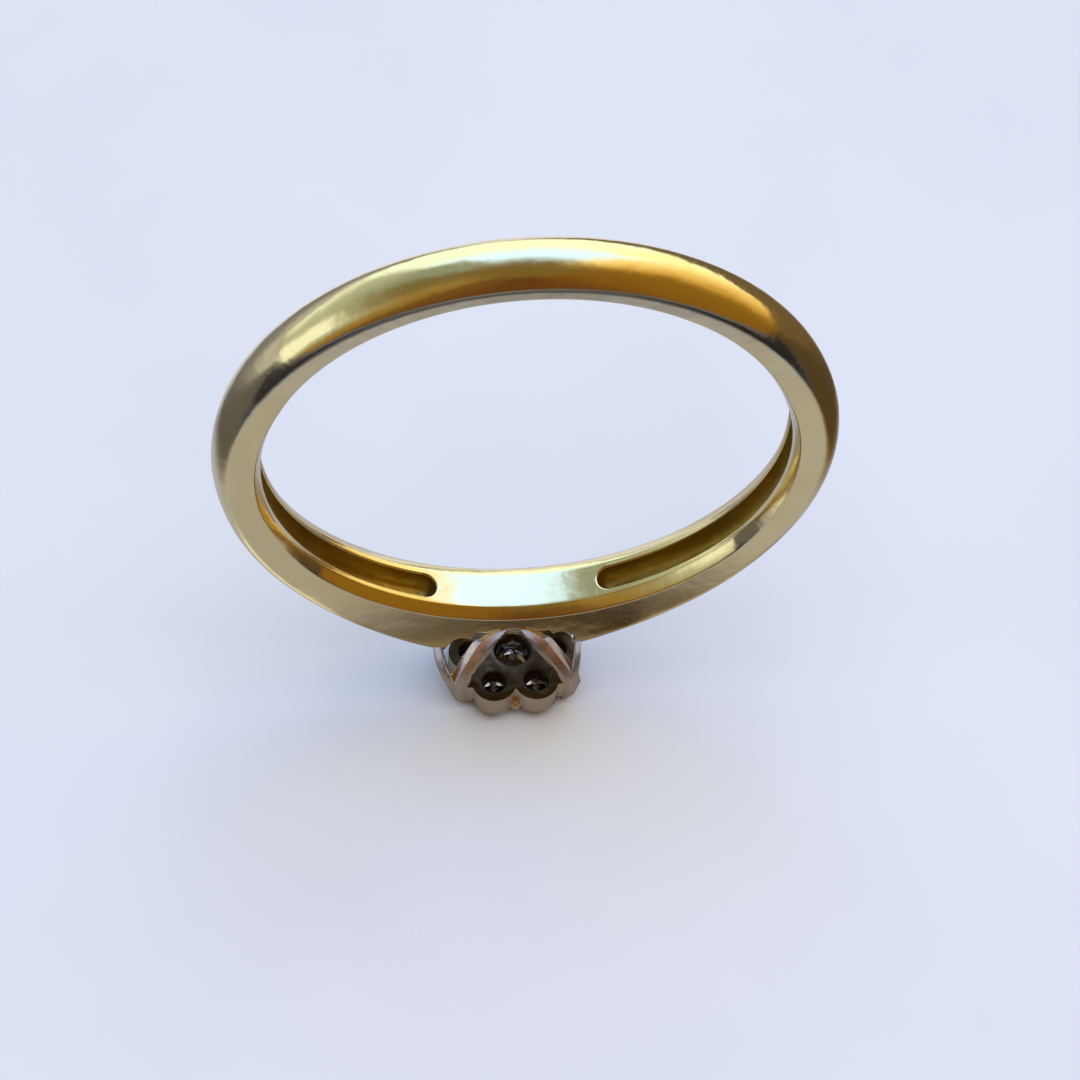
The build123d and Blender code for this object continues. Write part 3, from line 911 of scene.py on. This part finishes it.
def build_world():
    world = bpy.data.worlds.new("studio")
    scene.world = world
    world.use_nodes = True
    tree = world.node_tree
    tree.nodes.clear()
    out = tree.nodes.new("ShaderNodeOutputWorld")
    back = tree.nodes.new("ShaderNodeBackground")
    link(tree, back.outputs[0], out.inputs["Surface"])
    coords = tree.nodes.new("ShaderNodeTexCoord")
    split = tree.nodes.new("ShaderNodeSeparateXYZ")
    link(tree, coords.outputs["Generated"], split.inputs[0])
    x, y, z = split.outputs

    def ramp(value, stops):
        n = tree.nodes.new("ShaderNodeValToRGB")
        n.color_ramp.interpolation = "EASE"
        while len(n.color_ramp.elements) < len(stops):
            n.color_ramp.elements.new(0.5)
        for e, (p, c) in zip(n.color_ramp.elements, stops):
            e.position = p
            e.color = (*(v / 3 for v in c), 1.0)
        link(tree, value, n.inputs[0])
        full = tree.nodes.new("ShaderNodeVectorMath")
        full.operation = "SCALE"
        full.inputs["Scale"].default_value = 3.0
        link(tree, n.outputs[0], full.inputs[0])
        return full.outputs[0]

    def band(value, a, b, c, d):
        return math_node(tree, "MULTIPLY", step(tree, value, a, b, 0.0, 1.0), step(tree, value, c, d, 1.0, 0.0))

    elevation = math_node(tree, "MULTIPLY", math_node(tree, "ARCSINE", z), 180 / pi)
    bearing = math_node(tree, "MULTIPLY", math_node(tree, "ARCTAN2", x, y), 180 / pi)
    # a dim room all round, by bearing from straight behind the ring: browns on the
    # camera's side, grey-olive to the left, amber to the right
    turn = map_range(tree, bearing, -180, 180, 0.0, 1.0)
    room = ramp(turn, [
        (0.000, (0.14, 0.06, 0.02)), (0.090, (0.18, 0.10, 0.03)), (0.145, (0.34, 0.23, 0.07)), (0.190, (0.34, 0.26, 0.11)), (0.240, (0.24, 0.19, 0.09)),
        (0.295, (0.20, 0.18, 0.09)), (0.355, (0.30, 0.38, 0.40)), (0.500, (0.40, 0.48, 0.48)), (0.720, (0.36, 0.22, 0.05)),
        (0.760, (0.27, 0.15, 0.02)), (0.875, (0.25, 0.13, 0.02)), (1.000, (0.14, 0.06, 0.02)),
    ])
    room = mix_colour(tree, step(tree, elevation, 62, 78, 0.0, 1.0), room, (0.21, 0.155, 0.05))
    # a low, softer window to the left, with a bright pane in it
    low = math_node(tree, "MULTIPLY", band(bearing, -124, -108, -34, -28), step(tree, elevation, 14, 50, 1.0, 0.0))
    colour = mix_colour(tree, low, room, (0.50, 0.60, 0.60))
    pane = math_node(tree, "MULTIPLY", band(bearing, -110, -100, -82, -74), step(tree, elevation, 16, 30, 1.0, 0.0))
    colour = mix_colour(tree, pane, colour, (1.10, 1.26, 1.40))
    skirt = math_node(tree, "MULTIPLY", band(bearing, -72, -58, -32, -26), step(tree, elevation, 2, 14, 1.0, 0.0))
    colour = mix_colour(tree, skirt, colour, (0.92, 1.08, 1.15))
    # a large window behind the ring: cool to the left, amber at its right edge
    window = math_node(tree, "MULTIPLY", band(bearing, -34, -26, 78, 86), step(tree, elevation, 58, 78, 1.0, 0.0))
    corner = math_node(tree, "MULTIPLY", step(tree, bearing, -26, -19, 0.85, 0.0), step(tree, elevation, 36, 47, 0.0, 1.0))
    window = math_node(tree, "MULTIPLY", window, math_node(tree, "SUBTRACT", 1.0, corner))
    glass = ramp(turn, [
        (0.400, (1.05, 1.35, 1.60)), (0.550, (1.15, 1.45, 1.60)), (0.597, (1.25, 1.42, 1.10)), (0.640, (1.22, 1.12, 0.66)),
        (0.675, (1.02, 0.78, 0.33)), (0.710, (0.68, 0.42, 0.11)), (0.735, (0.30, 0.17, 0.02)),
    ])
    cool = math_node(tree, "MULTIPLY", step(tree, elevation, 22, 48, 0.0, 1.0), band(bearing, -40, -20, 36, 51))
    glass = mix_colour(tree, cool, glass, (0.93, 1.50, 3.00))
    colour = mix_colour(tree, window, colour, glass)
    # what the camera itself sees past the floor's edge is plain
    seen = tree.nodes.new("ShaderNodeLightPath").outputs["Is Camera Ray"]
    link(tree, mix_colour(tree, seen, colour, (0.78, 0.81, 0.90)), back.inputs["Color"])
    back.inputs["Strength"].default_value = 1.0


build_world()


def area(name, place, target, size, power, colour, glossy):
    light = bpy.data.lights.new(name, "AREA")
    light.shape = "RECTANGLE"
    light.size, light.size_y = size
    light.energy = power
    light.color = colour
    obj = bpy.data.objects.new(name, light)
    scene.collection.objects.link(obj)
    obj.location = place
    obj.rotation_euler = (Vector(target) - Vector(place)).to_track_quat("-Z", "Y").to_euler()
    obj.visible_glossy = glossy
    return obj


area("top_soft", (0.05, -0.05, 0.50), (0, 0, -0.01), (0.5, 0.5), 1.95, (0.93, 0.96, 1.0), False)


# ==================================================================== camera
def build_camera():
    place = Vector((-10.42, -79.66, 114.65)) * MM
    forward = Vector((0.0744, 0.569, -0.819)).normalized()
    right = Vector((0.9964, -0.0761, 0.0376))
    right = (right - forward * right.dot(forward)).normalized()
    up = right.cross(forward)
    aim = (forward + 0.00322 * right - 0.02158 * up).normalized()
    right = (right - aim * right.dot(aim)).normalized()
    up = right.cross(aim)
    cam = bpy.data.cameras.new("camera")
    cam.sensor_fit = "HORIZONTAL"
    cam.sensor_width = 36.0
    cam.lens = 4379 / 1080 * 36
    cam.clip_start = 0.005
    cam.clip_end = 5.0
    obj = bpy.data.objects.new("camera", cam)
    scene.collection.objects.link(obj)
    turn = Matrix((right, up, -aim)).transposed().to_4x4()
    obj.matrix_world = Matrix.Translation(place) @ turn
    scene.camera = obj


build_camera()
scene.view_settings.view_transform = "Standard"

# ============================================================ scene update
bpy.context.view_layer.update()
